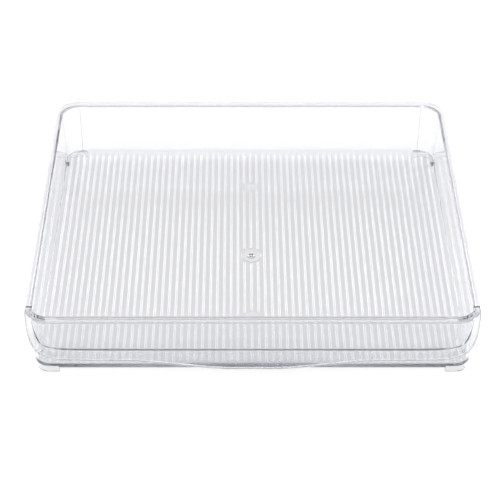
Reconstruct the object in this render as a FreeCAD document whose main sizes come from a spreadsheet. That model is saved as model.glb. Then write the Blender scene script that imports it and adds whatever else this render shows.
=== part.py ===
import FreeCAD, Part
import math
import os

import Sketcher
from FreeCAD import Placement, Rotation, Vector

# Clear moulded fridge bin, in millimetres.
# +X is the bin's right-hand side, -Y its front (where the pull lip is), +Z up.
# The origin is on the surface the feet stand on, under the middle of the whole outline.
# The bin is one plastic moulding. Each named region of that moulding is a solid of its own,
# and neighbouring regions meet face to face.

SIZES = [
    ("bin_width", 360.0, "left to right over the side rims"),
    ("rim_depth", 311.0, "front to back over the rims, without the lip"),
    ("rear_edge", 161.6, "origin to the outer edge of the rear rim"),
    ("total_height", 60.9, "feet to the top of the rim"),
    ("foot_height", 5.7, "feet to the underside of the floor"),
    ("floor_thick", 3.5, "floor plate between the ribs"),
    ("wall_thick", 2.2, "all four walls"),
    ("draft_run", 0.7, "how far each wall leans in from the rim down to the underside"),
    ("rim_thick", 3.6, "height of the side rims"),
    ("rim_side", 5.3, "width of the side rims, wall included"),
    ("rim_rear", 6.2, "width of the rear rim, wall included"),
    ("rim_front", 6.3, "width of the front rim, wall included"),
    ("rail_rise", 1.2, "step from the side rims down to the corners and end rims"),
    ("rear_radius", 14.0, "inside corner radius at the rear rim"),
    ("front_radius", 11.5, "inside corner radius at the front rim"),
    ("rim_radius", 18.0, "outside corner radius of the rear rim"),
    ("front_rim_radius", 13.5, "outside corner radius of the front rim, inside the lip"),
    ("rib_pitch", 5.82, "spacing of the floor ribs"),
    ("rib_width", 2.0, "width of a floor rib"),
    ("rib_rise", 0.5, "height of a floor rib above the plate"),
    ("rib_count", 59, "ribs across the floor, one on the centre line"),
    ("rib_rear_gap", 9.0, "rear wall to the rib ends"),
    ("rib_front_gap", 1.0, "front wall to the rib ends"),
    ("gate_back", -6.0, "origin to the gate mark, front to back"),
    ("gate_radius", 9.0, "flat land around the gate mark"),
    ("gate_nub_radius", 3.5, "raised nub of the gate mark"),
    ("pad_radius", 6.0, "round flat pads on the centre line"),
    ("pad_rear_back", 94.3, "origin to the rear pad"),
    ("pad_front_back", -86.3, "origin to the front pad"),
    ("foot_leg", 19.0, "length of each leg of an L-shaped foot"),
    ("foot_thick", 3.0, "thickness of a foot's legs"),
    ("foot_inset_side", 1.45, "side of the floor plate to the foot"),
    ("foot_inset_end", 1.0, "end of the floor plate to the foot"),
    ("foot_outer_round", 9.0, "outside corner radius of a foot"),
    ("foot_inner_round", 5.0, "inside corner radius of a foot"),
    ("foot_end_round", 1.4, "rounding of the ends of a foot's legs"),
    ("lip_height", 26.3, "feet to the lip where it meets the front wall"),
    ("lip_reach", 9.75, "how far the lip stands out from the front wall"),
    ("lip_centre_extra", 7.0, "further reach of the lip in the middle"),
    ("lip_wave_inner", 15.0, "half width of the middle stretch at full reach"),
    ("lip_wave_outer", 105.0, "half width where the extra reach begins"),
    ("lip_droop", 0.285, "fall of the lip per millimetre of reach, at the front"),
    ("lip_thick", 2.2, "thickness of the lip"),
    ("lip_fall_run", 7.6, "run round the corner over which the lip falls half way"),
    ("lip_fall_power", 2.6, "how sharply the lip falls at the corner"),
    ("lip_widen_run", 30.0, "run round the corner over which the lip widens"),
    ("lip_widen_power", 0.85, "how early in that run the lip widens"),
]

doc = FreeCAD.newDocument("FridgeBin")
sheet = doc.addObject("Spreadsheet::Sheet", "Sizes")
for row, (alias, value, note) in enumerate(SIZES, start=1):
    sheet.set("A%d" % row, note)
    sheet.set("B%d" % row, str(value))
    sheet.setAlias("B%d" % row, alias)
doc.recompute()


def size(alias):
    return float(sheet.get(alias))


# Expressions shared by several regions. All lengths are positive: regions on the left or
# at the front are drawn on the right or at the rear and turned half a turn.
WIDE = "Sizes.bin_width / 2"
REAR = "Sizes.rear_edge"
FRONT = "(Sizes.rim_depth - Sizes.rear_edge)"
FLOOR_TOP = "(Sizes.foot_height + Sizes.floor_thick)"
RIM_BASE = "(Sizes.total_height - Sizes.rim_thick)"
TUB = "(Sizes.total_height - Sizes.foot_height)"
LEAN_FLOOR = "Sizes.draft_run * (%s - Sizes.floor_thick) / %s" % (TUB, TUB)
LEAN_RIM = "Sizes.draft_run * Sizes.rim_thick / %s" % TUB
INNER_SIDE = "(%s - Sizes.rim_side)" % WIDE
INNER_REAR = "(%s - Sizes.rim_rear)" % REAR
INNER_FRONT = "(%s - Sizes.rim_front)" % FRONT
INSIDE_DEPTH = "(%s + %s)" % (INNER_REAR, INNER_FRONT)
MID_Y = "((%s - %s) / 2)" % (INNER_REAR, INNER_FRONT)

nodes = []


def new_body(label):
    body = doc.addObject("PartDesign::Body", label)
    body.Label = label
    nodes.append(body)
    return body


def new_sketch(body, plane, name):
    sketch = body.newObject("Sketcher::SketchObject", name)
    support = next(f for f in body.Origin.OriginFeatures if f.Role == plane)
    sketch.AttachmentSupport = [(support, "")]
    sketch.MapMode = "FlatFace"
    return sketch


def bind(sketch, kind, references, value, expression):
    index = sketch.addConstraint(Sketcher.Constraint(kind, *references, value))
    sketch.setExpression("Constraints[%d]" % index, expression)


def evaluate(expression):
    return float(sheet.evalExpression(expression.replace("Sizes.", "")))


def draw_polygon(sketch, corners):
    """Close a polygon whose corners are pairs of sheet expressions."""
    points = [Vector(evaluate(x), evaluate(y), 0) for x, y in corners]
    count = len(points)
    for i in range(count):
        sketch.addGeometry(Part.LineSegment(points[i], points[(i + 1) % count]), False)
    for i in range(count):
        sketch.addConstraint(Sketcher.Constraint("Coincident", i, 2, (i + 1) % count, 1))
    for i, (x, y) in enumerate(corners):
        bind(sketch, "DistanceX", (-1, 1, i, 1), points[i].x, x)
        bind(sketch, "DistanceY", (-1, 1, i, 1), points[i].y, y)


def add_pad(body, sketch, length, midplane=False):
    pad = body.newObject("PartDesign::Pad", body.Label + "_pad")
    pad.Profile = sketch
    pad.Midplane = midplane
    pad.setExpression("Length", length)
    sketch.Visibility = False
    body.Tip = pad
    return pad


def vertical_edges(feature, points):
    """Names of the feature's upright edges that stand at the given plan points."""
    found = []
    for number, edge in enumerate(feature.Shape.Edges, start=1):
        low = edge.BoundBox
        upright = low.XLength < 1e-6 and low.YLength < 1e-6
        if upright and any(math.hypot(low.XMin - x, low.YMin - y) < 1e-4 for x, y in points):
            found.append("Edge%d" % number)
    return found


def add_fillet(body, points, radius):
    doc.recompute()
    base = body.Tip
    fillet = body.newObject("PartDesign::Fillet", body.Label + "_fillet")
    fillet.Base = (base, vertical_edges(base, points))
    fillet.setExpression("Radius", radius)
    body.Tip = fillet
    return fillet


def place(body, turn, shift_y="0", lift="0"):
    body.Placement = Placement(Vector(), Rotation(Vector(0, 0, 1), turn))
    body.setExpression("Placement.Base.y", shift_y)
    body.setExpression("Placement.Base.z", lift)


def straight_bar(label, plane, corners, length, turn, shift_y="0"):
    """A region with one cross-section along a straight side of the bin."""
    body = new_body(label)
    sketch = new_sketch(body, plane, label + "_section")
    draw_polygon(sketch, corners)
    add_pad(body, sketch, length, midplane=True)
    place(body, turn, shift_y)
    return body


# ---------------------------------------------------------------- floor and its marks

def floor_panel():
    """Ribbed plate that closes the underside, with flats for the gate mark and the pads."""
    body = new_body("floor_panel")
    plate = new_sketch(body, "XY_Plane", "floor_outline")
    half = "(%s - Sizes.rim_side + Sizes.wall_thick - Sizes.draft_run)" % WIDE
    long_half = "(%s / 2 + Sizes.wall_thick - Sizes.draft_run)" % INSIDE_DEPTH
    corners = [("0", "0"), ("2 * " + half, "0"), ("2 * " + half, "2 * " + long_half),
               ("0", "2 * " + long_half)]
    draw_polygon(plate, corners)
    plate.setExpression("AttachmentOffset.Base.x", "-" + half)
    plate.setExpression("AttachmentOffset.Base.y", "-" + long_half)
    add_pad(body, plate, "Sizes.floor_thick")
    x = evaluate(half)
    y = evaluate(long_half)
    add_fillet(body, [(-x, y), (x, y)], "Sizes.rear_radius + Sizes.wall_thick - Sizes.draft_run")
    add_fillet(body, [(-x, -y), (x, -y)],
               "Sizes.front_radius + Sizes.wall_thick - Sizes.draft_run")

    rib = new_sketch(body, "XY_Plane", "rib_outline")
    run = "(%s - 2 * Sizes.draft_run - Sizes.rib_rear_gap - Sizes.rib_front_gap)" % INSIDE_DEPTH
    draw_polygon(rib, [("0", "0"), ("Sizes.rib_width", "0"), ("Sizes.rib_width", run), ("0", run)])
    first = "-(Sizes.rib_count - 1) / 2 * Sizes.rib_pitch - Sizes.rib_width / 2"
    start = "-%s + Sizes.wall_thick + Sizes.rib_front_gap" % long_half
    rib.setExpression("AttachmentOffset.Base.x", first)
    rib.setExpression("AttachmentOffset.Base.y", start)
    add_pad(body, rib, "Sizes.floor_thick + Sizes.rib_rise")
    pattern = body.newObject("PartDesign::LinearPattern", "rib_row")
    pattern.Originals = [body.Tip]
    pattern.Direction = (rib, ["H_Axis"])
    pattern.setExpression("Length", "(Sizes.rib_count - 1) * Sizes.rib_pitch")
    pattern.setExpression("Occurrences", "Sizes.rib_count")
    body.Tip = pattern
    doc.recompute()

    for name, back, radius in (("gate", "Sizes.gate_back", "Sizes.gate_radius"),
                               ("pad_rear", "Sizes.pad_rear_back", "Sizes.pad_radius"),
                               ("pad_front", "Sizes.pad_front_back", "Sizes.pad_radius")):
        flat = new_sketch(body, "XY_Plane", name + "_flat")
        flat.addGeometry(Part.Circle(Vector(), Vector(0, 0, 1), evaluate(radius)), False)
        flat.addConstraint(Sketcher.Constraint("Coincident", 0, 3, -1, 1))
        bind(flat, "Radius", (0,), evaluate(radius), radius)
        flat.setExpression("AttachmentOffset.Base.y", "%s - %s" % (back, MID_Y))
        flat.setExpression("AttachmentOffset.Base.z", "Sizes.floor_thick")
        before = body.Tip.Shape.Volume
        pocket = body.newObject("PartDesign::Pocket", name + "_pocket")
        pocket.Profile = flat
        pocket.Reversed = True
        pocket.setExpression("Length", "2 * Sizes.rib_rise")
        body.Tip = pocket
        doc.recompute()
        if pocket.Shape.Volume >= before:
            raise RuntimeError(name + " flat cut nothing")
    place(body, 0, MID_Y, "Sizes.foot_height")


def round_mark(label, back, profile):
    """A small turned mark on the floor plate: profile is (radius, height) expressions."""
    body = new_body(label)
    sketch = new_sketch(body, "XZ_Plane", label + "_profile")
    draw_polygon(sketch, profile)
    turned = body.newObject("PartDesign::Revolution", label + "_turned")
    turned.Profile = sketch
    turned.ReferenceAxis = (sketch, ["V_Axis"])
    turned.Angle = 360
    body.Tip = turned
    place(body, 0, back, FLOOR_TOP)


def floor_marks():
    land = "Sizes.rib_rise * 0.3"
    round_mark("gate_mark", "Sizes.gate_back",
               [("0", "0"), ("Sizes.gate_radius * 0.98", "0"), ("Sizes.gate_radius * 0.9", land),
                ("Sizes.gate_nub_radius", land), ("Sizes.gate_nub_radius * 0.8", "Sizes.rib_rise"),
                ("0", "Sizes.rib_rise * 0.6")])
    for label, back in (("rear_pad", "Sizes.pad_rear_back"), ("front_pad", "Sizes.pad_front_back")):
        radius = "Sizes.pad_radius * 0.98"
        round_mark(label, back,
                   [("0", "0"), (radius, "0"), (radius, "Sizes.rib_rise * 0.5"),
                    ("0", "Sizes.rib_rise * 0.5")])


# ---------------------------------------------------------------- walls and rims

def leaning_section(inner_at_rim):
    """Wall section from the floor plate up to the underside of the rim."""
    low = "%s - %s" % (inner_at_rim, LEAN_FLOOR)
    high = "%s - %s" % (inner_at_rim, LEAN_RIM)
    return [(low, FLOOR_TOP), (low + " + Sizes.wall_thick", FLOOR_TOP),
            (high + " + Sizes.wall_thick", RIM_BASE), (high, RIM_BASE)]


def flat_section(inner, outer, top):
    return [(inner, RIM_BASE), (outer, RIM_BASE), (outer, top), (inner, top)]


LOW_RIM = "(Sizes.total_height - Sizes.rail_rise)"
SIDE_RUN = "(%s - Sizes.rear_radius - Sizes.front_radius)" % INSIDE_DEPTH
SIDE_MID = "(%s + (Sizes.front_radius - Sizes.rear_radius) / 2)" % MID_Y


def walls_and_rims():
    for label, turn in (("right", 0), ("left", 180)):
        straight_bar(label + "_wall", "XZ_Plane", leaning_section(INNER_SIDE), SIDE_RUN, turn, SIDE_MID)
        section = flat_section(INNER_SIDE, WIDE, "Sizes.total_height")
        straight_bar(label + "_rim", "XZ_Plane", section, SIDE_RUN, turn, SIDE_MID)
    ends = (("rear", 0, INNER_REAR, REAR, "Sizes.rear_radius"),
            ("front", 180, INNER_FRONT, FRONT, "Sizes.front_radius"))
    for label, turn, inner, outer, radius in ends:
        run = "2 * (%s - %s)" % (INNER_SIDE, radius)
        straight_bar(label + "_wall", "YZ_Plane", leaning_section(inner), run, turn)
        straight_bar(label + "_rim", "YZ_Plane", flat_section(inner, outer, LOW_RIM), run, turn)


def corner_wall(label, radius, across, along, first_angle):
    """Quarter turn of the leaning wall section about the upright axis of a corner."""
    body = new_body(label)
    sketch = new_sketch(body, "XZ_Plane", label + "_section")
    draw_polygon(sketch, leaning_section(radius))
    turned = body.newObject("PartDesign::Revolution", label + "_turned")
    turned.Profile = sketch
    turned.ReferenceAxis = (sketch, ["V_Axis"])
    turned.Angle = 90
    turned.Midplane = True
    body.Tip = turned
    body.Placement = Placement(Vector(), Rotation(Vector(0, 0, 1), first_angle))
    body.setExpression("Placement.Base.x", across)
    body.setExpression("Placement.Base.y", along)


def draw_corner(sketch, inner, outer, round_in, round_out, sign_x, sign_y):
    """Rim outline round a corner: two straight ends, a round inside and a round outside.
    inner and outer are (across, along) expressions of distances from the origin."""
    def signed(across, along):
        return ("%d * (%s)" % (sign_x, across), "%d * (%s)" % (sign_y, along))

    bends_left = sign_x * sign_y > 0
    centre = ["%s - %s" % (edge, round_in) for edge in inner]
    stops = [signed(centre[0], inner[1]), signed(centre[0], outer[1]),
             signed("%s - %s" % (outer[0], round_out), outer[1]),
             signed(outer[0], "%s - %s" % (outer[1], round_out)),
             signed(outer[0], centre[1]), signed(inner[0], centre[1])]
    points = [Vector(evaluate(x), evaluate(y), 0) for x, y in stops]
    arcs = {2: round_out, 5: round_in}
    first = 0 if sign_x > 0 else math.pi / 2
    if sign_y < 0:
        first = -math.pi / 2 if sign_x > 0 else -math.pi
    for i in range(6):
        following = points[(i + 1) % 6]
        if i not in arcs:
            sketch.addGeometry(Part.LineSegment(points[i], following), False)
            continue
        radius = evaluate(arcs[i])
        middle = Vector(sign_x * min(abs(points[i].x), abs(following.x)),
                        sign_y * min(abs(points[i].y), abs(following.y)), 0)
        circle = Part.Circle(middle, Vector(0, 0, 1), radius)
        sketch.addGeometry(Part.ArcOfCircle(circle, first, first + math.pi / 2), False)
    for i in range(6):
        # An arc runs anticlockwise, so it may start at either of its two stops.
        after = (i + 1) % 6
        start_here = [i not in arcs or (i == 5) == bends_left for i in (i, after)]
        leave = 2 if start_here[0] else 1
        enter = 1 if start_here[1] else 2
        sketch.addConstraint(Sketcher.Constraint("Coincident", i, leave, after, enter))
    for i, (x, y) in enumerate(stops):
        starts = i not in arcs or (i == 5) == bends_left
        bind(sketch, "DistanceX", (-1, 1, i, 1 if starts else 2), points[i].x, x)
        bind(sketch, "DistanceY", (-1, 1, i, 1 if starts else 2), points[i].y, y)
    for i, radius in arcs.items():
        bind(sketch, "Radius", (i,), evaluate(radius), radius)


def corner_rim(label, inner, outer, inner_radius, outer_radius, sign_x, sign_y):
    """Flat rim round a corner, as tall as the end rims."""
    body = new_body(label)
    sketch = new_sketch(body, "XY_Plane", label + "_outline")
    draw_corner(sketch, inner, outer, inner_radius, outer_radius, sign_x, sign_y)
    sketch.setExpression("AttachmentOffset.Base.z", RIM_BASE)
    add_pad(body, sketch, "Sizes.rim_thick - Sizes.rail_rise")


def corners():
    wall_face = "(%s + Sizes.wall_thick)" % INNER_SIDE
    for side, sign in (("right", 1), ("left", -1)):
        centre = "%d * (%s - Sizes.rear_radius)" % (sign, INNER_SIDE)
        corner_wall("rear_%s_corner" % side, "Sizes.rear_radius", centre,
                    "%s - Sizes.rear_radius" % INNER_REAR, 90 - 45 * sign)
        centre = "%d * (%s - Sizes.front_radius)" % (sign, INNER_SIDE)
        corner_wall("front_%s_corner" % side, "Sizes.front_radius", centre,
                    "-(%s - Sizes.front_radius)" % INNER_FRONT, 45 * sign - 90)
        corner_rim("rear_%s_corner_rim" % side, (INNER_SIDE, INNER_REAR), (WIDE, REAR),
                   "Sizes.rear_radius", "Sizes.rim_radius", sign, 1)
        corner_rim("front_%s_corner_rim" % side, (INNER_SIDE, INNER_FRONT), (wall_face, FRONT),
                   "Sizes.front_radius", "Sizes.front_rim_radius", sign, -1)


# ---------------------------------------------------------------- feet

def foot(label, mirror_x, mirror_y):
    """L-shaped standing rib under one corner of the floor plate."""
    body = new_body(label)
    sketch = new_sketch(body, "XY_Plane", label + "_outline")
    x_out = "(%s + Sizes.wall_thick - Sizes.draft_run - Sizes.foot_inset_side)" % INNER_SIDE
    end = INNER_FRONT if mirror_y else INNER_REAR
    y_out = "(%s + Sizes.wall_thick - Sizes.draft_run - Sizes.foot_inset_end)" % end
    x_in = x_out + " - Sizes.foot_thick"
    y_in = y_out + " - Sizes.foot_thick"
    x_end = x_out + " - Sizes.foot_leg"
    y_end = y_out + " - Sizes.foot_leg"
    corners = [(x_out, y_out), (x_end, y_out), (x_end, y_in), (x_in, y_in), (x_in, y_end),
               (x_out, y_end)]
    if mirror_x:
        corners = [("-(%s)" % x, y) for x, y in corners]
    if mirror_y:
        corners = [(x, "-(%s)" % y) for x, y in corners]
    draw_polygon(sketch, corners)
    add_pad(body, sketch, "Sizes.foot_height")
    points = [(evaluate(x), evaluate(y)) for x, y in corners]
    add_fillet(body, [points[0]], "Sizes.foot_outer_round")
    add_fillet(body, [points[3]], "Sizes.foot_inner_round")
    add_fillet(body, [points[1], points[2], points[4], points[5]], "Sizes.foot_end_round")


def feet():
    for end, at_front in (("front", True), ("rear", False)):
        for side, at_left in (("left", True), ("right", False)):
            foot("%s_%s_foot" % (end, side), at_left, at_front)


# ---------------------------------------------------------------- pull lip

class LipPath:
    """Run of the lip along the outer face of the walls, from the end of a side rim, round
    the front corner, to the middle of the front. run is measured round the wall's face."""

    def __init__(self):
        self.radius = size("front_radius") + size("wall_thick")
        self.centre_x = size("bin_width") / 2 - size("rim_side") - size("front_radius")
        front = size("rim_depth") - size("rear_edge")
        self.centre_y = -(front - size("rim_front") - size("front_radius"))
        self.corner_run = self.radius * math.pi / 2
        self.full_run = self.corner_run + self.centre_x

    def lean(self, z):
        """How far the wall's face has come in at height z."""
        tub = size("total_height") - size("foot_height")
        return size("draft_run") * (size("total_height") - z) / tub

    def point(self, run, out, z):
        """A point out from the wall's face at height z, on the right-hand half."""
        reach = self.radius - self.lean(z) + out
        if run >= self.corner_run:
            return Vector(self.full_run - run, self.centre_y - reach, z)
        turn = run / self.radius
        return Vector(self.centre_x + reach * math.cos(turn), self.centre_y - reach * math.sin(turn), z)

    def height(self, run):
        """Height of the lip's upper edge at the wall: a steep fall, then level."""
        fall = 1 / (1 + (run / size("lip_fall_run")) ** size("lip_fall_power"))
        return size("lip_height") + (size("total_height") - size("lip_height")) * fall

    def slope(self, run):
        step = 0.01
        return (self.height(run + step) - self.height(run)) / step

    def width(self, run):
        """Reach of the lip from the wall: narrow at the side rim, widest in the middle."""
        narrow = size("rim_side") - size("wall_thick")
        part = min(run / size("lip_widen_run"), 1)
        reach = narrow + (size("lip_reach") - narrow) * math.sin(part * math.pi / 2) ** size("lip_widen_power")
        across = self.full_run - run
        span = size("lip_wave_outer") - size("lip_wave_inner")
        part = min(max((size("lip_wave_outer") - across) / span, 0), 1)
        return reach + size("lip_centre_extra") * part * part * (3 - 2 * part)

    def section(self, run, mirrored):
        top = self.height(run)
        width = self.width(run)
        outer = top - size("lip_droop") * width * min(run / size("lip_widen_run"), 1)
        deep = size("lip_thick") * math.hypot(1, self.slope(run))
        points = [self.point(run, 0, top), self.point(run, width, outer),
                  self.point(run, width, outer - deep), self.point(run, 0, top - deep)]
        if mirrored:
            points = [Vector(-p.x, p.y, p.z) for p in points]
        return Part.makePolygon(points + points[:1])


def lip_loft(label, sections):
    """A lip region lofted through cross-sections, because it turns, falls and widens at once."""
    feature = doc.addObject("Part::Feature", label)
    feature.Label = label
    feature.Shape = Part.makeLoft(sections, True, False)
    feature.Placement = Placement()
    nodes.append(feature)


def pull_lip():
    path = LipPath()
    steps = 10
    runs = [path.corner_run * i / steps for i in range(steps + 1)]
    for label, mirrored in (("lip_right_sweep", False), ("lip_left_sweep", True)):
        lip_loft(label, [path.section(run, mirrored) for run in runs])
    steps = 16
    half = [path.corner_run + path.centre_x * i / steps for i in range(steps + 1)]
    sections = [path.section(run, False) for run in half]
    sections += [path.section(run, True) for run in reversed(half[:-1])]
    lip_loft("lip_front", sections)


floor_panel()
floor_marks()
walls_and_rims()
corners()
feet()
pull_lip()
doc.recompute()

# ---------------------------------------------------------------- checks and export

for item in doc.Objects:
    if "Invalid" in item.State or "Error" in item.State:
        raise RuntimeError("%s did not build: %s" % (item.Label, item.State))
os.makedirs("parts", exist_ok=True)
for node in nodes:
    shape = node.Shape
    if shape.isNull() or not shape.isValid() or not shape.Solids:
        raise RuntimeError("%s has no valid solid" % node.Label)
    box = shape.BoundBox
    print("%-24s solids %d  volume %9.1f  x %.2f..%.2f  y %.2f..%.2f  z %.2f..%.2f" % (
        node.Label, len(shape.Solids), shape.Volume, box.XMin, box.XMax, box.YMin, box.YMax,
        box.ZMin, box.ZMax))
    shape.exportStep("parts/%s.step" % node.Label)
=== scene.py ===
import math

import bmesh
import bpy
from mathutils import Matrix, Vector


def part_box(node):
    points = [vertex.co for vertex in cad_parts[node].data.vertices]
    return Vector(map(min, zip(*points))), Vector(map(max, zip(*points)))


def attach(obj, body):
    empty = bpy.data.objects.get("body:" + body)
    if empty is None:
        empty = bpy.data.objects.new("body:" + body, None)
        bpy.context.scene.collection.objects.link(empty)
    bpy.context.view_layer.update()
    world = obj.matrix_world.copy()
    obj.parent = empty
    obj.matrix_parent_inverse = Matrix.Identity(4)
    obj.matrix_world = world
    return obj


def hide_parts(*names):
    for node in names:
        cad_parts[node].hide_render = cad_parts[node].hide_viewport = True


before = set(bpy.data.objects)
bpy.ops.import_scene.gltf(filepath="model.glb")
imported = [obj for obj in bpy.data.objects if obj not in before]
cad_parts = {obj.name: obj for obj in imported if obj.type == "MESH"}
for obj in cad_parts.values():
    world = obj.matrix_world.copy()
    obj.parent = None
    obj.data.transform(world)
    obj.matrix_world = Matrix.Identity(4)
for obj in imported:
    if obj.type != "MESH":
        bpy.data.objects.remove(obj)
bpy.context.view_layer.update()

MM = 0.001

# ---------------------------------------------------------------- places, from the frame

floor_low, floor_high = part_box("floor_panel")
rail_low, rail_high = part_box("right_rim")
rear_low, rear_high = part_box("rear_rim")
front_low, front_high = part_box("front_rim")
gate_low, gate_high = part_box("gate_mark")

RIM_TOP = rail_high[2]
LOW_RIM_TOP = rear_high[2]
RIM_BASE = rail_low[2]
UNDERSIDE = floor_low[2]
RIB_TOP = floor_high[2]
FLOOR_TOP = gate_low[2]

SIDE_OUT = rail_high[0]
SIDE_IN = rail_low[0]
REAR_OUT = rear_high[1]
REAR_IN = rear_low[1]
FRONT_OUT = front_low[1]
FRONT_IN = front_high[1]

WALL = 2.2 * MM
DRAFT = 0.7 * MM  # how far a wall leans in from the rim down to the underside
TUB = RIM_TOP - UNDERSIDE
FLOOR_CHAMFER = 0.45 * MM
FLOOR_CHAMFER_RISE = 0.8 * MM
BOTTOM_ROUND = 0.8 * MM
RIM_IN_ROUND = 0.3 * MM
RIM_OUT_ROUND = 0.8 * MM
UNDER_RIM_FILLET = 1.0 * MM

# Half-axes of the corners in plan, across and along, at the rim.
REAR_IN_ROUND = (17.5 * MM, 15.0 * MM)
REAR_OUT_ROUND = (16.2 * MM, 16.2 * MM)
REAR_RIM_ROUND = (18.0 * MM, 18.0 * MM)
FRONT_IN_ROUND = (13.0 * MM, 10.5 * MM)
FRONT_OUT_ROUND = (15.2 * MM, 12.7 * MM)

RAIL_RUN = 0.3 * MM  # run of the step from a side rim down to the corner

# The front rim is level as far as its crease and then falls outward. Its outer round is cut
# down to a part of the others'.
FRONT_SLOPE = 0.1157
FRONT_CREASE = 2.0 * MM
FRONT_BEND = 0.2 * MM
FRONT_SHARP = 0.4

# The shallow line in the wall beside each corner.
GROOVE_DEEP = 0.18 * MM
GROOVE_WIDE = 0.55 * MM

RIB_COUNT = 59
RIB_PITCH = 5.82 * MM
RIB_WIDTH = 2.1 * MM
RIB_HEIGHT = 0.36 * MM
RIB_ROOT = 0.5 * MM
RIB_END_RUN = 1.2 * MM
RIB_END = ((0.0, 0.15), (0.3, 0.75), (1.0, 1.0))  # part of the end run, part of the height
RIB_REAR_GAP = 9.0 * MM
RIB_FRONT_GAP = 1.0 * MM

# Lines across the ribs where the floor's faces are divided, in mm. Three pass through the marks.
FLOOR_CUTS = (-120.0, -85.6, -45.0, -5.3, 45.0, 95.1, 125.0)

CORNER_STEPS = 20
ARC_STEPS = 4
RIB_STEPS = 6
MARK_STEPS = 32
DIMPLE_STEPS = 24

LEVEL = 1e-7  # heights closer than this count as the same
MERGE_REACH = 2e-6
SLIVER = 1e-6
SHARP_ANGLE = math.radians(32)


# ---------------------------------------------------------------- mesh helpers

def finish_mesh(name, bm):
    bmesh.ops.recalc_face_normals(bm, faces=bm.faces)
    mesh = bpy.data.meshes.new(name)
    bm.to_mesh(mesh)
    bm.free()
    thing = bpy.data.objects.new(name, mesh)
    bpy.context.scene.collection.objects.link(thing)
    return thing


def skin_rings(bm, rings):
    """Quads between closed rings of equal length, with the first and last ring capped."""
    verts = [[bm.verts.new(point) for point in ring] for ring in rings]
    for low, high in zip(verts, verts[1:]):
        count = len(low)
        for i in range(count):
            j = (i + 1) % count
            bm.faces.new((low[i], low[j], high[j], high[i]))
    bm.faces.new(verts[0])
    bm.faces.new(verts[-1])


def plan_ring(side, rear, front, rear_round, front_round, height, groove=0.0):
    """Closed plan outline with elliptical corners. height(place) gives the z of a point on the
    rail, rear or front, and groove is how far out the line beside a corner is drawn."""
    points = []
    corners = ((1, 1, rear_round), (-1, 1, rear_round), (-1, -1, front_round), (1, -1, front_round))
    for sign_x, sign_y, (across, along) in corners:
        centre_x = sign_x * (side - across)
        end = rear if sign_y > 0 else front
        centre_y = end - sign_y * along
        place = "rear" if sign_y > 0 else "front"
        arc = []
        for i in range(CORNER_STEPS + 1):
            turn = i / CORNER_STEPS * math.pi / 2
            arc.append((centre_x + sign_x * across * math.cos(turn),
                        centre_y + sign_y * along * math.sin(turn), place))
        arc.insert(0, (sign_x * side, centre_y - sign_y * RAIL_RUN, "rail"))
        arc.append((centre_x - sign_x * GROOVE_WIDE / 2, end + sign_y * groove, place))
        arc.append((centre_x - sign_x * GROOVE_WIDE, end, place))
        if sign_x * sign_y < 0:
            arc.reverse()
        points += arc
    return [Vector((x, y, height(place))) for x, y, place in points]


def lean(z):
    """How far the walls have come in at height z."""
    return DRAFT * (RIM_TOP - z) / TUB


def wall_ring(z, inside, inset=0.0):
    """Ring on the inner or outer face of the walls at height z, moved in by inset."""
    back = lean(z) + inset
    if inside:
        rounds = (REAR_IN_ROUND, FRONT_IN_ROUND)
        edges = (SIDE_IN, REAR_IN, FRONT_IN)
    else:
        rounds = (REAR_OUT_ROUND, FRONT_OUT_ROUND)
        edges = (SIDE_IN + WALL, REAR_IN + WALL, FRONT_IN - WALL)
    rounds = [(across - back, along - back) for across, along in rounds]
    return plan_ring(edges[0] - back, edges[1] - back, edges[2] + back, rounds[0], rounds[1],
                     lambda place: z, GROOVE_DEEP if inside else -GROOVE_DEEP)


def quarter(steps):
    """Angles from 0 to a right angle."""
    return [i / steps * math.pi / 2 for i in range(steps + 1)]


def tub_rings():
    """Rings from the floor's edge up the inside, over the rim and down the outside."""
    rings = []
    rings.append(wall_ring(FLOOR_TOP, True, FLOOR_CHAMFER))
    rings.append(wall_ring(FLOOR_TOP + FLOOR_CHAMFER_RISE, True))
    rings.append(wall_ring(RIM_BASE, True))
    for turn in quarter(ARC_STEPS):
        rings.append(rim_ring(RIM_IN_ROUND * (1 - math.cos(turn)),
                              RIM_IN_ROUND * (1 - math.sin(turn)), True))
    rings.append(rim_ring(FRONT_CREASE, 0, True))
    rings.append(rim_ring(FRONT_CREASE + FRONT_BEND, 0, True))
    for turn in quarter(ARC_STEPS):
        rings.append(rim_ring(RIM_OUT_ROUND * (1 - math.sin(turn)),
                              RIM_OUT_ROUND * (1 - math.cos(turn)), False))
    for turn in quarter(ARC_STEPS):
        rings.append(under_ring(RIM_IN_ROUND * (1 - math.cos(turn)),
                                RIM_IN_ROUND * math.sin(turn)))
    for turn in quarter(ARC_STEPS):
        drop = UNDER_RIM_FILLET * (1 - math.cos(turn))
        out = UNDER_RIM_FILLET * (1 - math.sin(turn))
        rings.append(wall_ring(RIM_BASE - drop, False, -out))
    for turn in quarter(ARC_STEPS):
        rise = BOTTOM_ROUND * (1 - math.sin(turn))
        rings.append(wall_ring(UNDERSIDE + rise, False, BOTTOM_ROUND * (1 - math.cos(turn))))
    return rings


def rim_edges(inside, inset):
    """Side, rear and front of the rim's inner or outer edge, moved inset into the rim."""
    if inside:
        return (SIDE_IN + inset, REAR_IN + inset, FRONT_IN - inset)
    return (SIDE_OUT - inset, REAR_OUT - inset, FRONT_OUT + inset * FRONT_SHARP)


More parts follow.
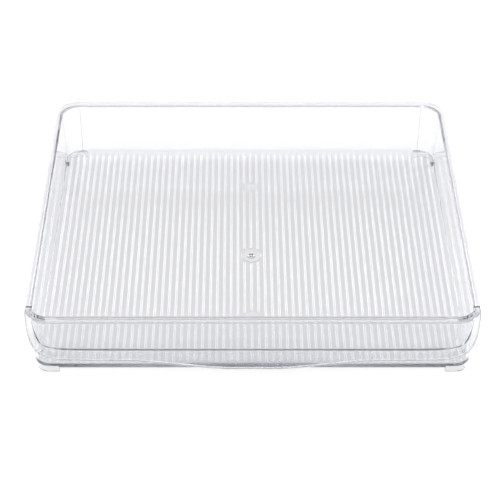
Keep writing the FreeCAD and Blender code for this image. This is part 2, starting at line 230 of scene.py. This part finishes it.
def rim_ring(inset, drop, inside):
    """Ring on the rounded upper edges of the rim: inset from its edge, drop below its top."""
    side, rear, front = rim_edges(inside, inset)
    if inside:
        rear_round = [axis + inset for axis in REAR_IN_ROUND]
        front_round = [axis + inset for axis in FRONT_IN_ROUND]
        from_inner = inset
        front_drop = drop
    else:
        rear_round = [axis - inset for axis in REAR_RIM_ROUND]
        front_round = front_rim_round(inset)
        from_inner = FRONT_IN - FRONT_OUT - inset * FRONT_SHARP
        front_drop = drop * FRONT_SHARP
    fall = max(from_inner - FRONT_CREASE, 0) * FRONT_SLOPE
    tops = {"rail": RIM_TOP - drop, "rear": LOW_RIM_TOP - drop,
            "front": LOW_RIM_TOP - front_drop - fall}
    return plan_ring(side, rear, front, rear_round, front_round, lambda place: tops[place])


def front_rim_round(inset):
    """Half-axes of the front rim's outer corners."""
    return (FRONT_IN_ROUND[0] + SIDE_OUT - SIDE_IN - inset,
            FRONT_IN_ROUND[1] + FRONT_IN - FRONT_OUT - inset * FRONT_SHARP)


def under_ring(inset, rise):
    """Ring on the rounded lower edge of the rim: rise is how far below the round's top it is."""
    side, rear, front = rim_edges(False, inset)
    rear_round = [axis - inset for axis in REAR_RIM_ROUND]
    z = RIM_BASE + RIM_IN_ROUND - rise
    return plan_ring(side, rear, front, rear_round, front_rim_round(inset), lambda place: z)


def split_caps(bm):
    """Divide the floor's upper and lower faces into small fields, none with a rib inside it."""
    cuts = [(((i - RIB_COUNT / 2) * RIB_PITCH, 0, 0), (1, 0, 0)) for i in range(RIB_COUNT + 1)]
    cuts += [((0, y * MM, 0), (0, 1, 0)) for y in FLOOR_CUTS]
    for place, normal in cuts:
        faces = []
        for face in bm.faces:
            heights = [vert.co.z for vert in face.verts]
            if max(heights) - min(heights) < LEVEL and min(heights) < FLOOR_TOP + LEVEL:
                faces.append(face)
        edges = {edge for face in faces for edge in face.edges}
        verts = {vert for face in faces for vert in face.verts}
        bmesh.ops.bisect_plane(bm, geom=faces + list(edges) + list(verts), dist=LEVEL,
                               plane_co=place, plane_no=normal)


def make_tub():
    bm = bmesh.new()
    skin_rings(bm, tub_rings())
    split_caps(bm)
    return finish_mesh("tub", bm)


# ---------------------------------------------------------------- ribs and marks

MARK_CLEAR = 0.98  # a mark's radius as a part of the gap in the ribs round it

# Turned shapes of the marks, from the outside in: part of the radius, part of the rise.
GATE_LAND = ((1.0, 0.15), (0.93, 0.7), (0.86, 0.9), (0.72, 0.5), (0.6, 0.4))
GATE_NUB = 3.5 * MM
GATE_NUB_SHAPE = ((1.1, 0.4), (1.0, 1.0), (0.6, 1.0))
GATE_DIMPLE_RADIUS = 2.8 * MM
GATE_DIMPLE_DEEP = 2.2 * MM
GATE_DIMPLE_OVER = 0.3 * MM  # how far the cutting cone starts above the mark
GATE_DIMPLE_FLARE = 1.14
GATE_DIMPLE_TIP = 0.15
PAD_SHAPE = ((1.0, 0.3), (0.85, 0.9), (0.6, 1.0))


def rib_section(x, y, size):
    """Low arch across a rib, with a root below the floor's surface."""
    half = RIB_WIDTH / 2
    points = [Vector((x + half, y, FLOOR_TOP - RIB_ROOT))]
    for i in range(RIB_STEPS + 1):
        turn = i / RIB_STEPS * math.pi
        across = half * math.cos(turn)
        up = RIB_HEIGHT * size * math.sin(turn) ** 2
        points.append(Vector((x + across, y, FLOOR_TOP + up)))
    points.append(Vector((x - half, y, FLOOR_TOP - RIB_ROOT)))
    return points


def mark_place(node):
    """Centre and radius of a round mark."""
    low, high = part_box(node)
    return ((low[0] + high[0]) / 2, (low[1] + high[1]) / 2), (high[0] - low[0]) / 2


def rib_runs(x):
    """Stretches of a rib, broken where it would cross the gate mark or a pad."""
    start = FRONT_IN + lean(FLOOR_TOP) + RIB_FRONT_GAP
    end = REAR_IN - lean(FLOOR_TOP) - RIB_REAR_GAP
    cuts = []
    for node in ("gate_mark", "rear_pad", "front_pad"):
        centre, radius = mark_place(node)
        reach = radius / MARK_CLEAR + RIB_WIDTH / 2
        if abs(x) < reach:
            half = math.sqrt(reach ** 2 - x ** 2)
            cuts.append((centre[1] - half, centre[1] + half))
    runs = []
    for low, high in sorted(cuts):
        runs.append((start, low))
        start = high
    runs.append((start, end))
    return runs


def make_ribs():
    bm = bmesh.new()
    for i in range(RIB_COUNT):
        x = (i - (RIB_COUNT - 1) / 2) * RIB_PITCH
        for start, end in rib_runs(x):
            rings = [rib_section(x, start + RIB_END_RUN * part, size) for part, size in RIB_END]
            rings += [rib_section(x, end - RIB_END_RUN * part, size)
                      for part, size in reversed(RIB_END)]
            skin_rings(bm, rings)
    return finish_mesh("ribs", bm)


def turned_solid(bm, centre, profile, steps):
    """Closed solid turned about an upright axis: profile is (radius, z) from end to end."""
    rings = []
    for radius, z in profile:
        rings.append([Vector((centre[0] + radius * math.cos(i / steps * math.tau),
                              centre[1] + radius * math.sin(i / steps * math.tau), z))
                      for i in range(steps)])
    skin_rings(bm, rings)


def make_dimple():
    """Cone that the gate leaves in the middle of its mark, to be cut out of the floor."""
    centre, _ = mark_place("gate_mark")
    bm = bmesh.new()
    turned_solid(bm, centre, [
        (GATE_DIMPLE_RADIUS * GATE_DIMPLE_FLARE, RIB_TOP + GATE_DIMPLE_OVER),
        (GATE_DIMPLE_RADIUS, RIB_TOP),
        (GATE_DIMPLE_RADIUS * GATE_DIMPLE_TIP, RIB_TOP - GATE_DIMPLE_DEEP)], DIMPLE_STEPS)
    return finish_mesh("dimple", bm)


def make_marks():
    bm = bmesh.new()
    centre, radius = mark_place("gate_mark")
    rise = RIB_TOP - FLOOR_TOP
    profile = [(radius, FLOOR_TOP - RIB_ROOT)]
    profile += [(radius * part, FLOOR_TOP + rise * up) for part, up in GATE_LAND]
    profile += [(GATE_NUB * part, FLOOR_TOP + rise * up) for part, up in GATE_NUB_SHAPE]
    turned_solid(bm, centre, profile, MARK_STEPS)
    for node in ("rear_pad", "front_pad"):
        centre, radius = mark_place(node)
        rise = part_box(node)[1][2] - FLOOR_TOP
        profile = [(radius, FLOOR_TOP - RIB_ROOT)]
        profile += [(radius * part, FLOOR_TOP + rise * up) for part, up in PAD_SHAPE]
        turned_solid(bm, centre, profile, MARK_STEPS)
    return finish_mesh("marks", bm)


# ---------------------------------------------------------------- feet

FOOT_THICK = 3.0 * MM
FOOT_OUTER = 9.6 * MM
FOOT_INNER = 6.6 * MM
FOOT_EDGE = 0.5 * MM
FOOT_TAPER = 0.25 * MM
FOOT_ROOT = 1.0 * MM
FOOT_CORNER_STEPS = 10
FOOT_END_STEPS = 8
FOOT_EDGE_STEPS = 3


def foot_ring(corner, sign_x, sign_y, leg, z, shrink):
    """L outline in plan with a round outside, a round inside and half-round ends."""
    points = []

    def arc(centre_x, centre_y, radius, first, last, steps):
        for i in range(steps + 1):
            turn = math.radians(first + (last - first) * i / steps)
            points.append((centre_x + radius * math.cos(turn), centre_y + radius * math.sin(turn)))

    half = FOOT_THICK / 2
    arc(-FOOT_OUTER, -FOOT_OUTER, FOOT_OUTER - shrink, 0, 90, FOOT_CORNER_STEPS)
    arc(-leg + half, -half, half - shrink, 90, 270, FOOT_END_STEPS)
    arc(-FOOT_THICK - FOOT_INNER, -FOOT_THICK - FOOT_INNER, FOOT_INNER + shrink, 90, 0,
        FOOT_CORNER_STEPS)
    arc(-half, -leg + half, half - shrink, 180, 360, FOOT_END_STEPS)
    ring = [Vector((corner[0] + sign_x * x, corner[1] + sign_y * y, z)) for x, y in points]
    if sign_x * sign_y < 0:
        ring.reverse()
    return ring


def make_feet():
    bm = bmesh.new()
    for name, sign_x, sign_y in (("front_left", -1, -1), ("front_right", 1, -1),
                                 ("rear_left", -1, 1), ("rear_right", 1, 1)):
        low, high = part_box(name + "_foot")
        corner = (high[0] if sign_x > 0 else low[0], high[1] if sign_y > 0 else low[1])
        leg = high[0] - low[0]
        rings = [foot_ring(corner, sign_x, sign_y, leg, UNDERSIDE + FOOT_ROOT, 0)]
        rings.append(foot_ring(corner, sign_x, sign_y, leg, low[2] + FOOT_EDGE, FOOT_TAPER))
        for turn in quarter(FOOT_EDGE_STEPS)[1:]:
            rings.append(foot_ring(corner, sign_x, sign_y, leg,
                                   low[2] + FOOT_EDGE * (1 - math.sin(turn)),
                                   FOOT_TAPER + FOOT_EDGE * (1 - math.cos(turn))))
        skin_rings(bm, rings)
    return finish_mesh("feet", bm)


# ---------------------------------------------------------------- pull lip

LIP_HEIGHT = 26.3 * MM
LIP_THICK = 2.2 * MM
LIP_FALL_RUN = 7.6 * MM
LIP_FALL_POWER = 2.6
LIP_WIDEN_RUN = 30.0 * MM
LIP_WIDEN_POWER = 0.85
LIP_REACH = 9.75 * MM
LIP_WAVE_INNER = 15.0 * MM
LIP_WAVE_OUTER = 105.0 * MM
LIP_EXTRA = 7.0 * MM
LIP_DROOP = 0.285
LIP_ROOT = 1.2 * MM
LIP_FILLET = 0.9 * MM
LIP_FILLET_SHAPE = ((0.1, 0.55), (0.35, 0.2))  # parts of the fillet, outward and up
LIP_EDGE_PART = 0.45  # the most of the lip's width that its rounded edge takes
LIP_EDGE_STEPS = 8
LIP_STARTS = (-4.0 * MM, -2.0 * MM, 0.0)  # sections before the corner, along the side wall
LIP_PATH_STEPS = 40
LIP_CORNER_SECTIONS = 28
LIP_FRONT_SECTIONS = 48
SLOPE_STEP = 0.01 * MM


class LipPath:
    """Run of the lip along the outer face of the walls, from the end of a side rim, round
    the front corner, to the middle of the front."""

    def __init__(self):
        self.across, self.along = FRONT_OUT_ROUND
        self.centre_x = SIDE_IN + WALL - self.across
        self.centre_y = FRONT_IN - WALL + self.along
        self.turns = quarter(LIP_PATH_STEPS)
        self.lengths = [0.0]
        for a, b in zip(self.turns, self.turns[1:]):
            step = math.hypot(self.across * (math.cos(b) - math.cos(a)),
                              self.along * (math.sin(b) - math.sin(a)))
            self.lengths.append(self.lengths[-1] + step)
        self.corner_run = self.lengths[-1]
        self.full_run = self.corner_run + self.centre_x

    def turn_at(self, run):
        """Angle round the corner at a run along it."""
        for i in range(len(self.turns) - 1):
            if run <= self.lengths[i + 1]:
                part = (run - self.lengths[i]) / (self.lengths[i + 1] - self.lengths[i])
                return self.turns[i] + (self.turns[i + 1] - self.turns[i]) * part
        return math.pi / 2

    def point(self, run, out, z):
        """Point at height z, out from the wall's outer face."""
        inward = lean(z)
        if run >= self.corner_run:
            y = self.centre_y - self.along + inward - out
            return Vector((self.full_run - run, y, z))
        if run < 0:
            return Vector((self.centre_x + self.across - inward + out, self.centre_y - run, z))
        turn = self.turn_at(run)
        normal = Vector((math.cos(turn) / self.across, -math.sin(turn) / self.along))
        normal.normalize()
        x = self.centre_x + (self.across - inward) * math.cos(turn) + normal.x * out
        y = self.centre_y - (self.along - inward) * math.sin(turn) + normal.y * out
        return Vector((x, y, z))

    def height(self, run):
        fall = 1 / (1 + (max(run, 0) / LIP_FALL_RUN) ** LIP_FALL_POWER)
        return LIP_HEIGHT + (LOW_RIM_TOP - LIP_HEIGHT) * fall

    def slope(self, run):
        return (self.height(run + SLOPE_STEP) - self.height(run)) / SLOPE_STEP

    def width(self, run):
        narrow = SIDE_OUT - SIDE_IN - WALL
        part = min(max(run, 0) / LIP_WIDEN_RUN, 1)
        reach = narrow + (LIP_REACH - narrow) * math.sin(part * math.pi / 2) ** LIP_WIDEN_POWER
        across = self.full_run - run
        part = (LIP_WAVE_OUTER - across) / (LIP_WAVE_OUTER - LIP_WAVE_INNER)
        part = min(max(part, 0), 1)
        return reach + LIP_EXTRA * part * part * (3 - 2 * part)

    def section(self, run):
        """Closed section: fillet, top, rounded outer edge, underside, root in the wall."""
        top = self.height(run)
        width = self.width(run)
        droop = LIP_DROOP * min(max(run, 0) / LIP_WIDEN_RUN, 1)
        deep = LIP_THICK * math.hypot(1, self.slope(run))
        edge = min(LIP_THICK / 2, width * LIP_EDGE_PART)
        fillet = LIP_FILLET * (LOW_RIM_TOP - top) / (LOW_RIM_TOP - LIP_HEIGHT)
        points = [self.point(run, -LIP_ROOT, top + fillet), self.point(run, 0, top + fillet)]
        points += [self.point(run, fillet * out, top + fillet * up)
                   for out, up in LIP_FILLET_SHAPE]
        points += [self.point(run, fillet, top - droop * fillet),
                   self.point(run, width * 0.5, top - droop * width * 0.5)]
        for i in range(LIP_EDGE_STEPS + 1):
            turn = math.pi / 2 - i / LIP_EDGE_STEPS * math.pi
            out = width - edge + edge * math.cos(turn)
            z = top - deep / 2 + deep / 2 * math.sin(turn) - droop * out
            points.append(self.point(run, out, z))
        points.append(self.point(run, width * 0.5, top - deep - droop * width * 0.5))
        points.append(self.point(run, -LIP_ROOT, top - deep))
        return points


def make_lip():
    path = LipPath()
    runs = list(LIP_STARTS)
    runs += [path.corner_run * i / LIP_CORNER_SECTIONS for i in range(1, LIP_CORNER_SECTIONS + 1)]
    front = path.full_run - path.corner_run
    runs += [path.corner_run + front * i / LIP_FRONT_SECTIONS
             for i in range(1, LIP_FRONT_SECTIONS)]
    right = [path.section(run) for run in runs]
    middle = path.section(path.full_run)
    left = [[Vector((-p.x, p.y, p.z)) for p in section] for section in reversed(right)]
    bm = bmesh.new()
    skin_rings(bm, right + [middle] + left)
    return finish_mesh("lip", bm)


# ---------------------------------------------------------------- one moulding

def join_solids(base, others, cuts):
    """Union the solids into base and cut others out, so that the plastic is one body."""
    for other in others + cuts:
        step = base.modifiers.new("join_" + other.name, "BOOLEAN")
        step.operation = "DIFFERENCE" if other in cuts else "UNION"
        step.solver = "EXACT"
        step.object = other
    depsgraph = bpy.context.evaluated_depsgraph_get()
    mesh = bpy.data.meshes.new_from_object(base.evaluated_get(depsgraph))
    base.modifiers.clear()
    base.data = mesh
    for other in others + cuts:
        bpy.data.objects.remove(other)


def make_bin():
    tub = make_tub()
    join_solids(tub, [make_lip(), make_feet(), make_ribs(), make_marks()], [make_dimple()])
    tub.name = "clear_bin"
    bm = bmesh.new()
    bm.from_mesh(tub.data)
    bmesh.ops.remove_doubles(bm, verts=bm.verts, dist=MERGE_REACH)
    bmesh.ops.dissolve_degenerate(bm, edges=bm.edges, dist=SLIVER)
    bmesh.ops.recalc_face_normals(bm, faces=bm.faces)
    open_edges = sum(1 for edge in bm.edges if len(edge.link_faces) != 2)
    print("clear_bin: faces", len(bm.faces), "edges not between two faces", open_edges)
    bm.to_mesh(tub.data)
    bm.free()
    for polygon in tub.data.polygons:
        polygon.use_smooth = True
    tub.data.set_sharp_from_angle(angle=SHARP_ANGLE)
    weigh = tub.modifiers.new("flat_faces_stay_flat", "WEIGHTED_NORMAL")
    weigh.keep_sharp = True
    weigh.weight = 100
    return tub


# ---------------------------------------------------------------- materials

# Tones of the surface, and what the shadow under it lets through. The walls have the plastic's own
# tone; the darker rim and floor tones are painted shade.
WALL_TONE = (0.885, 0.888, 0.905, 1)
RIM_PAINTED_SHADE_TONE = (0.77, 0.772, 0.80, 1)
FLAT_PAINTED_SHADE_TONE = (0.77, 0.774, 0.80, 1)
CLEAR_SHADOW = (0.995, 0.995, 0.995, 1)
FLAT_SHADOW = (0.93, 0.93, 0.935, 1)

FLAT_BAND = 0.04 * MM  # the floor between the ribs is the surface within this of FLOOR_TOP
RIM_PAINTED_SHADE_BAND = 0.5 * MM  # the painted shade on the rims starts this far below them

# Grain: noise scale and greatest roughness, on polished surfaces and on the floor's flats.
GRAIN_SCALE = (45.0, 420.0)
ROUGHEST = (0.02, 0.08)

# Sockets of a Mix node set to RGBA: factor, first colour, second colour, and its result.
MIX_FACTOR, MIX_FIRST, MIX_SECOND, MIX_RESULT = 0, 6, 7, 2


def blend(tree, mask, plain, grained, socket):
    """Drive a colour or number from plain to grained where the mask is 1."""
    if socket.type == "RGBA":
        mix = tree.nodes.new("ShaderNodeMix")
        mix.data_type = "RGBA"
        mix.inputs[MIX_FIRST].default_value = plain
        mix.inputs[MIX_SECOND].default_value = grained
        result = mix.outputs[MIX_RESULT]
    else:
        mix = tree.nodes.new("ShaderNodeMapRange")
        mix.inputs["To Min"].default_value = plain
        mix.inputs["To Max"].default_value = grained
        result = mix.outputs["Result"]
    tree.links.new(mask, mix.inputs[0])
    tree.links.new(result, socket)


def clear_plastic():
    """Clear plastic, polished but for a fine grain on the floor between the ribs. The rims and the
    floor between the ribs are painted darker than the walls, as painted shade.
    """
    material = bpy.data.materials.new("clear_plastic")
    material.use_nodes = True
    tree = material.node_tree
    nodes = tree.nodes
    links = tree.links
    nodes.clear()
    output = nodes.new("ShaderNodeOutputMaterial")
    plastic = nodes.new("ShaderNodeBsdfPrincipled")
    plastic.inputs["Transmission Weight"].default_value = 1.0
    plastic.inputs["IOR"].default_value = 1.57

    where = nodes.new("ShaderNodeTexCoord")
    split = nodes.new("ShaderNodeSeparateXYZ")
    links.new(where.outputs["Object"], split.inputs["Vector"])
    flats = nodes.new("ShaderNodeMath")
    flats.operation = "COMPARE"
    flats.inputs[1].default_value = FLOOR_TOP
    flats.inputs[2].default_value = FLAT_BAND
    links.new(split.outputs["Z"], flats.inputs[0])
    mask = flats.outputs["Value"]
    # Painted shade: the rims, from a little below them up, get a darker tone than the walls.
    tone = nodes.new("ShaderNodeValToRGB")
    tone.color_ramp.interpolation = "CONSTANT"
    tone.color_ramp.elements[0].color = WALL_TONE
    tone.color_ramp.elements[1].color = RIM_PAINTED_SHADE_TONE
    rims = nodes.new("ShaderNodeMapRange")
    rims.inputs["From Min"].default_value = 0.0
    rims.inputs["From Max"].default_value = 2 * (RIM_BASE - RIM_PAINTED_SHADE_BAND)
    tone.color_ramp.elements[1].position = 0.5
    links.new(split.outputs["Z"], rims.inputs["Value"])
    links.new(rims.outputs["Result"], tone.inputs["Fac"])
    # Painted shade: the floor between the ribs gets a darker tone than the walls.
    colour = nodes.new("ShaderNodeMix")
    colour.data_type = "RGBA"
    colour.inputs[MIX_SECOND].default_value = FLAT_PAINTED_SHADE_TONE
    links.new(mask, colour.inputs[MIX_FACTOR])
    links.new(tone.outputs["Color"], colour.inputs[MIX_FIRST])
    links.new(colour.outputs[MIX_RESULT], plastic.inputs["Base Color"])

    haze = nodes.new("ShaderNodeTexNoise")
    haze.inputs["Detail"].default_value = 5.0
    links.new(where.outputs["Object"], haze.inputs["Vector"])
    blend(tree, mask, *GRAIN_SCALE, haze.inputs["Scale"])
    polish = nodes.new("ShaderNodeMapRange")
    polish.inputs["From Min"].default_value = 0.35
    polish.inputs["From Max"].default_value = 0.75
    polish.inputs["To Min"].default_value = 0.0
    blend(tree, mask, *ROUGHEST, polish.inputs["To Max"])
    links.new(haze.outputs["Fac"], polish.inputs["Value"])
    links.new(polish.outputs["Result"], plastic.inputs["Roughness"])

    ripple = nodes.new("ShaderNodeTexNoise")
    ripple.inputs["Scale"].default_value = 28.0
    ripple.inputs["Detail"].default_value = 2.0
    links.new(where.outputs["Object"], ripple.inputs["Vector"])
    bump = nodes.new("ShaderNodeBump")
    bump.inputs["Strength"].default_value = 0.0012
    bump.inputs["Distance"].default_value = 0.001
    links.new(ripple.outputs["Fac"], bump.inputs["Height"])
    links.new(bump.outputs["Normal"], plastic.inputs["Normal"])

    # Light that falls through the bin onto the floor passes straight on, a little dimmed.
    passing = nodes.new("ShaderNodeBsdfTransparent")
    blend(tree, mask, CLEAR_SHADOW, FLAT_SHADOW, passing.inputs["Color"])
    rays = nodes.new("ShaderNodeLightPath")
    choose = nodes.new("ShaderNodeMixShader")
    links.new(rays.outputs["Is Shadow Ray"], choose.inputs["Fac"])
    links.new(plastic.outputs["BSDF"], choose.inputs[1])
    links.new(passing.outputs["BSDF"], choose.inputs[2])
    links.new(choose.outputs["Shader"], output.inputs["Surface"])

    tint = nodes.new("ShaderNodeVolumeAbsorption")
    tint.inputs["Color"].default_value = (0.50, 0.50, 0.53, 1)
    tint.inputs["Density"].default_value = 9.0
    links.new(tint.outputs["Volume"], output.inputs["Volume"])
    return material


def pale_floor():
    material = bpy.data.materials.new("pale_floor")
    material.use_nodes = True
    shader = material.node_tree.nodes["Principled BSDF"]
    shader.inputs["Base Color"].default_value = (0.93, 0.93, 0.93, 1)
    shader.inputs["Roughness"].default_value = 0.9
    shader.inputs["Specular IOR Level"].default_value = 0.1
    return material


# ---------------------------------------------------------------- stage

CAMERA_LEFT = 12.7 * MM
CAMERA_FRONT = 1198.0 * MM  # ahead of the rear rim's outer edge
CAMERA_RISE = 790.5 * MM  # above the rear rim
CAMERA_TILT = 39  # degrees below level
FLOOR_HALF = 3.0

# Name, place, aim, size and power of each soft light.
LIGHTS = (
    ("overhead", (0, -1.0, 1.8), (0, -0.1, 0), (2.4, 2.4), 65),
    ("rear_left", (-1.15, 1.7, 1.0), (0, 0, 0), (1.0, 0.95), 12),
    ("rear_right", (1.15, 1.7, 1.0), (0, 0, 0), (1.0, 0.95), 12),
    ("rear_middle", (0, 2.1, 1.1), (0, 0, 0), (1.6, 1.8), 6),
    ("rear_high", (0, 1.7, 2.66), (0, 0, 0), (1.25, 0.4), 6),
)
BOUNCES = 64  # light crosses many walls of the clear plastic


def make_camera():
    data = bpy.data.cameras.new("camera")
    data.sensor_width = 36.0
    data.lens = 109.15
    data.shift_x = 0.0266
    data.clip_start = 0.01
    camera = bpy.data.objects.new("camera", data)
    camera.location = (-CAMERA_LEFT, REAR_OUT - CAMERA_FRONT, LOW_RIM_TOP + CAMERA_RISE)
    camera.rotation_euler = (math.radians(90 - CAMERA_TILT), 0, 0)
    bpy.context.scene.collection.objects.link(camera)
    bpy.context.scene.camera = camera


def make_floor():
    bm = bmesh.new()
    half = FLOOR_HALF
    corners = [bm.verts.new((x, y, 0)) for x, y in
               ((-half, -half), (half, -half), (half, half), (-half, half))]
    bm.faces.new(corners)
    floor = finish_mesh("floor", bm)
    floor.data.materials.append(pale_floor())


def area_light(name, place, target, size, power):
    data = bpy.data.lights.new(name, "AREA")
    data.shape = "RECTANGLE"
    data.size, data.size_y = size
    data.energy = power
    light = bpy.data.objects.new(name, data)
    light.location = place
    direction = Vector(target) - Vector(place)
    light.rotation_euler = direction.to_track_quat("-Z", "Y").to_euler()
    bpy.context.scene.collection.objects.link(light)


def make_lights():
    for light in LIGHTS:
        area_light(*light)
    world = bpy.data.worlds.new("studio")
    bpy.context.scene.world = world
    world.use_nodes = True
    back = world.node_tree.nodes["Background"]
    back.inputs["Color"].default_value = (0.75, 0.76, 0.8, 1)
    back.inputs["Strength"].default_value = 0.2


def make_view():
    scene = bpy.context.scene
    scene.view_settings.view_transform = "Standard"
    scene.cycles.max_bounces = BOUNCES
    scene.cycles.transmission_bounces = BOUNCES
    scene.cycles.glossy_bounces = BOUNCES
    scene.cycles.transparent_max_bounces = 32
    scene.cycles.caustics_refractive = False
    scene.cycles.caustics_reflective = False


make_camera()
moulding = make_bin()
moulding.data.materials.clear()
moulding.data.materials.append(clear_plastic())
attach(moulding, "root")
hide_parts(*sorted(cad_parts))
make_floor()
make_lights()
make_view()
